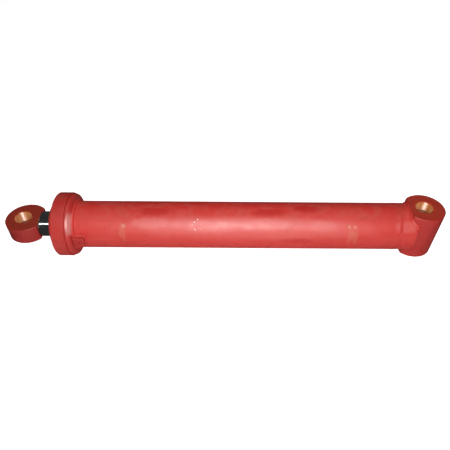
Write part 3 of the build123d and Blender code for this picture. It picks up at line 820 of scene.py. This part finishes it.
def add_world():
    """Surround that is white to the eye and dark to everything else, so that metal stays deep."""
    world = bpy.data.worlds.new("studio")
    world.use_nodes = True
    bpy.context.scene.world = world
    tree = world.node_tree
    path = tree.nodes.new("ShaderNodeLightPath")
    seen = tree.nodes.new("ShaderNodeMix")
    seen.inputs[2].default_value = WORLD_STRENGTH
    seen.inputs[3].default_value = 1.0
    tree.links.new(path.outputs["Is Camera Ray"], seen.inputs[0])
    tree.links.new(seen.outputs[0], tree.nodes["Background"].inputs["Strength"])
    tree.nodes["Background"].inputs["Color"].default_value = rgba(1.0, 1.0, 1.0)


def add_light(name, place, target, size, power, receivers=None, in_gloss=True):
    """A rectangular lamp, that lights only the receivers where they are given."""
    data = bpy.data.lights.new(name, "AREA")
    data.shape = "RECTANGLE"
    data.size, data.size_y = size
    data.energy = power
    light = bpy.data.objects.new(name, data)
    bpy.context.scene.collection.objects.link(light)
    away = Vector(place) - Vector(target)
    turn = away.to_track_quat("Z", "Y").to_matrix().to_4x4()
    light.matrix_world = Matrix.Translation(Vector(place)) @ turn
    light.visible_glossy = in_gloss
    if receivers is not None:
        light.light_linking.receiver_collection = receivers


def collection_of(name, wanted):
    """The scene's meshes whose name passes a test, as a collection that a light can be linked to."""
    group = bpy.data.collections.new(name)
    for thing in list(bpy.context.scene.objects):
        if thing.type == "MESH" and wanted(thing.name):
            group.objects.link(thing)
    return group


def add_lights():
    """A softbox and a tall lamp in front, soft light above and behind, and lamps for bare metal."""
    painted = collection_of("all_but_the_chrome", lambda name: name != "rod")
    chrome = collection_of("chrome", lambda name: name == "rod")
    bushes = collection_of("bushes", lambda name: "bush" in name)
    middle = (0.55, 0.0, 0.0)
    rod_end = (1.10, 0.0, 0.0)
    add_light("softbox", (0.52, 1.50, 0.85), middle, (0.8, 1.2), SOFTBOX_W, painted, in_gloss=False)
    add_light("lamp", (0.52, 1.06, 0.93), middle, (0.20, 0.75), LAMP_W, painted)
    add_light("strip", (1.60, 1.05, 0.865), rod_end, (1.2, 0.055), STRIP_W, chrome)
    add_light("bore_lamp", (0.50, 1.00, 1.00), middle, (0.30, 0.30), BORE_W, bushes)
    add_light("overhead", (0.55, 0.3, 2.6), middle, (3.2, 2.4), OVERHEAD_W, in_gloss=False)
    add_light("fill", (0.5, -1.6, 2.0), middle, (1.6, 1.6), FILL_W, in_gloss=False)


# ---- everything ----------------------------------------------------------------------------------
add_camera()
bpy.context.scene.view_settings.view_transform = "Standard"

barrel_paint = paint("barrel_paint", barrel_marks=True)
head_paint = paint("head_paint", tone=0.84)
shoulder_paint = paint("shoulder_paint", tone=0.84, shoulder_highlight=True)
port_paint = paint("port_paint", tone=0.74, sheen=0.6)
eye_paint = paint("eye_paint", tone=0.76, face_tone=0.25, face_shade_colour=PAINT_FACE_SHADE, sheen=0.55)
rod_eye_paint = paint("rod_eye_paint", tone=0.62, face_tone=0.05, face_shade_colour=PAINT_FACE_SHADE_DEEP, sheen=0.55)
weld_paint = paint("weld_paint", tone=0.95, weld=True)
weld_steel = turned_steel("weld_steel", (0.20, 0.20, 0.17), 0.45)
hidden_steel = turned_steel("turned_steel", (0.45, 0.45, 0.46), 0.32)
zinc = turned_steel("zinc_plate", (0.62, 0.61, 0.58), 0.30)
rubber = moulded("black_rubber", (0.018, 0.018, 0.018), 0.45)
polyurethane = moulded("blue_polyurethane", (0.03, 0.08, 0.22), 0.38)
guide_material = moulded("guide_ring", (0.05, 0.05, 0.045), 0.5)
ptfe = moulded("white_backup", (0.75, 0.75, 0.72), 0.42)

LOOKS = {
    "barrel_tube": barrel_paint,
    "base_cap": barrel_paint,
    "base_eye": eye_paint,
    "tube_flange": shoulder_paint,
    "gland": head_paint,
    "head_port_boss": port_paint,
    "base_port_boss": port_paint,
    "head_screws": head_paint,
    "head_port_plug": port_paint,
    "base_port_plug": port_paint,
    "rod_eye": rod_eye_paint,
    "rod": hard_chrome(),
    "base_grease_nipple": zinc,
    "rod_grease_nipple": zinc,
    "piston": hidden_steel,
    "piston_nut": hidden_steel,
    "nut_lock_screw": hidden_steel,
    "gland_o_ring": rubber,
    "piston_static_o_ring": rubber,
    "rod_seal": polyurethane,
    "rod_buffer_seal": polyurethane,
    "rod_wiper": polyurethane,
    "gland_backup_ring": ptfe,
    "rod_seal_backup_ring": ptfe,
}
base_bronze = bronze("base_bronze", PAINT_FACE_SHADE, BORE_SHADE_LINE[0])
rod_bronze = bronze("rod_bronze", PAINT_FACE_SHADE_DEEP, BORE_SHADE_LINE[1])
for node_name in nodes:
    if "bush" in node_name:
        wear(node_name, rod_bronze if node_name == "rod_bush" else base_bronze)
    elif "guide" in node_name or node_name == "piston_seal":
        wear(node_name, guide_material)
    elif node_name.startswith("weld"):
        wear(node_name, weld_paint)
    else:
        wear(node_name, LOOKS[node_name])

add_ring_beads(weld_paint)
add_head_port_bead(weld_paint)
add_rod_beads(weld_paint, weld_steel)
add_spatter(weld_paint)
add_floor()
add_world()
add_lights()
